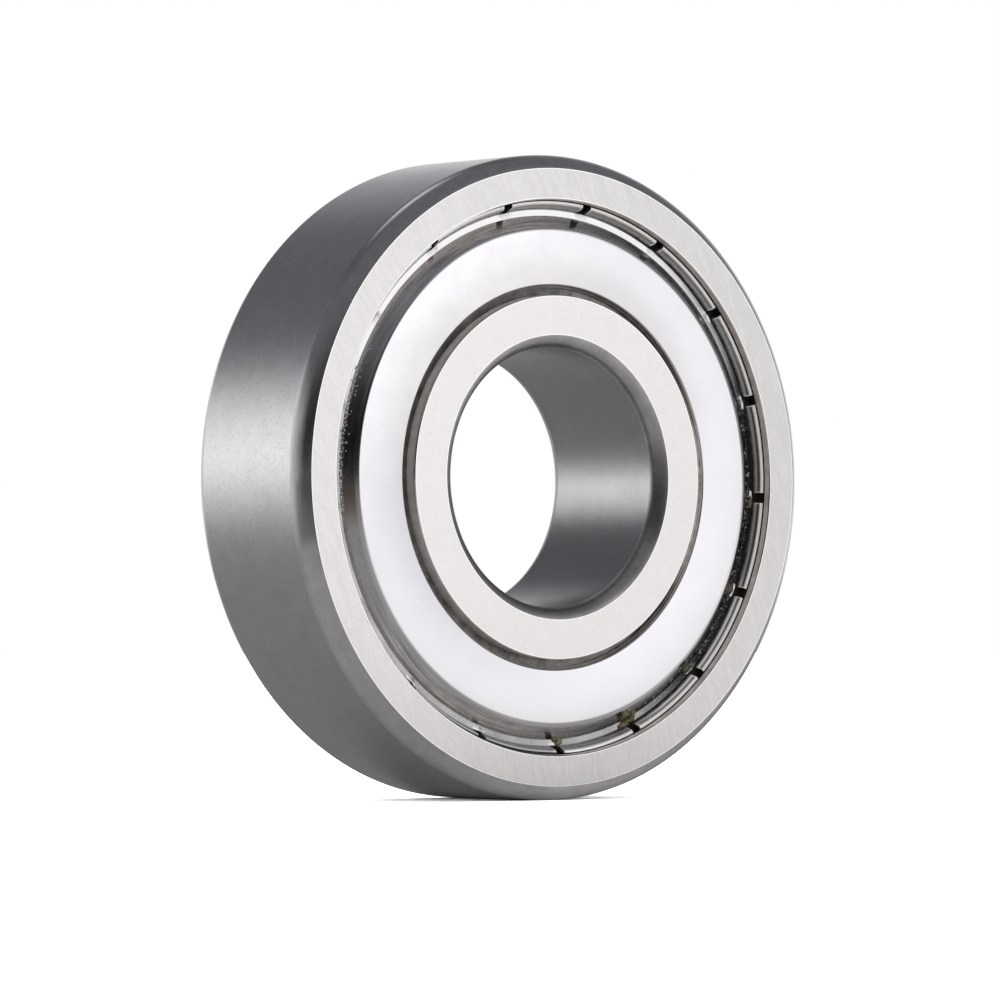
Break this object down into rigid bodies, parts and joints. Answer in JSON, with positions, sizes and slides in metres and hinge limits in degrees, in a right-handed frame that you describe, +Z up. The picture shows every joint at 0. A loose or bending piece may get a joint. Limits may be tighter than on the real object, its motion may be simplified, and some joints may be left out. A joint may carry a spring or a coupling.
{
  "type": "ball bearing",
  "caption": "Deep-groove ball bearing with a ground outer and inner ring, caged balls and a slotted pressed-steel shield on each side.",
  "frame": {"origin": "centre of the bearing: on its axis, midway between the two faces", "axes": "+Y along the bearing's axis, from the front face to the rear face; +Z up with the bearing standing on its rim"},
  "size_m": [0.062, 0.017, 0.062],
  "materials": {
    "ring_steel": "ground bearing steel, fine circular and crossing grinding marks",
    "shield_steel": "bright cold-rolled sheet, pressed",
    "ball_steel": "lapped and polished",
    "cage_steel": "plain stamped sheet",
    "rivet_steel": "plain formed heads"
  },
  "bodies": {
    "outer_assembly": {"outer_ring": "ring_steel", "shield_front": "shield_steel", "shield_rear": "shield_steel"},
    "inner_ring": {"inner_ring": "ring_steel"},
    "cage": {"cage_front": "cage_steel", "cage_rear": "cage_steel", "rivet_1": "rivet_steel", "rivet_2": "rivet_steel", "rivet_3": "rivet_steel", "rivet_4": "rivet_steel", "rivet_5": "rivet_steel", "rivet_6": "rivet_steel", "rivet_7": "rivet_steel"},
    "ball_1": {"ball_1": "ball_steel"},
    "ball_2": {"ball_2": "ball_steel"},
    "ball_3": {"ball_3": "ball_steel"},
    "ball_4": {"ball_4": "ball_steel"},
    "ball_5": {"ball_5": "ball_steel"},
    "ball_6": {"ball_6": "ball_steel"},
    "ball_7": {"ball_7": "ball_steel"}
  },
  "joints": [
    {"name": "inner_ring_spin", "type": "hinge", "parent": "outer_assembly", "child": "inner_ring", "pos_m": [0, 0, 0], "axis": [0, 1, 0], "continuous": true},
    {"name": "cage_orbit", "type": "hinge", "parent": "outer_assembly", "child": "cage", "pos_m": [0, 0, 0], "axis": [0, 1, 0], "continuous": true},
    {"name": "ball_1_spin", "type": "hinge", "parent": "cage", "child": "ball_1", "pos_m": [0, 0, 0.02175], "axis": [0, 1, 0], "continuous": true},
    {"name": "ball_2_spin", "type": "hinge", "parent": "cage", "child": "ball_2", "pos_m": [-0.017, 0, 0.01356], "axis": [0, 1, 0], "continuous": true},
    {"name": "ball_3_spin", "type": "hinge", "parent": "cage", "child": "ball_3", "pos_m": [-0.0212, 0, -0.00484], "axis": [0, 1, 0], "continuous": true},
    {"name": "ball_4_spin", "type": "hinge", "parent": "cage", "child": "ball_4", "pos_m": [-0.00944, 0, -0.0196], "axis": [0, 1, 0], "continuous": true},
    {"name": "ball_5_spin", "type": "hinge", "parent": "cage", "child": "ball_5", "pos_m": [0.00944, 0, -0.0196], "axis": [0, 1, 0], "continuous": true},
    {"name": "ball_6_spin", "type": "hinge", "parent": "cage", "child": "ball_6", "pos_m": [0.0212, 0, -0.00484], "axis": [0, 1, 0], "continuous": true},
    {"name": "ball_7_spin", "type": "hinge", "parent": "cage", "child": "ball_7", "pos_m": [0.017, 0, 0.01356], "axis": [0, 1, 0], "continuous": true}
  ],
  "couplings": [
    {"joint": "cage_orbit", "follows": "inner_ring_spin", "ratio": 0.3677},
    {"joint": "ball_1_spin", "follows": "inner_ring_spin", "ratio": -1.7574},
    {"joint": "ball_2_spin", "follows": "inner_ring_spin", "ratio": -1.7574},
    {"joint": "ball_3_spin", "follows": "inner_ring_spin", "ratio": -1.7574},
    {"joint": "ball_4_spin", "follows": "inner_ring_spin", "ratio": -1.7574},
    {"joint": "ball_5_spin", "follows": "inner_ring_spin", "ratio": -1.7574},
    {"joint": "ball_6_spin", "follows": "inner_ring_spin", "ratio": -1.7574},
    {"joint": "ball_7_spin", "follows": "inner_ring_spin", "ratio": -1.7574}
  ]
}
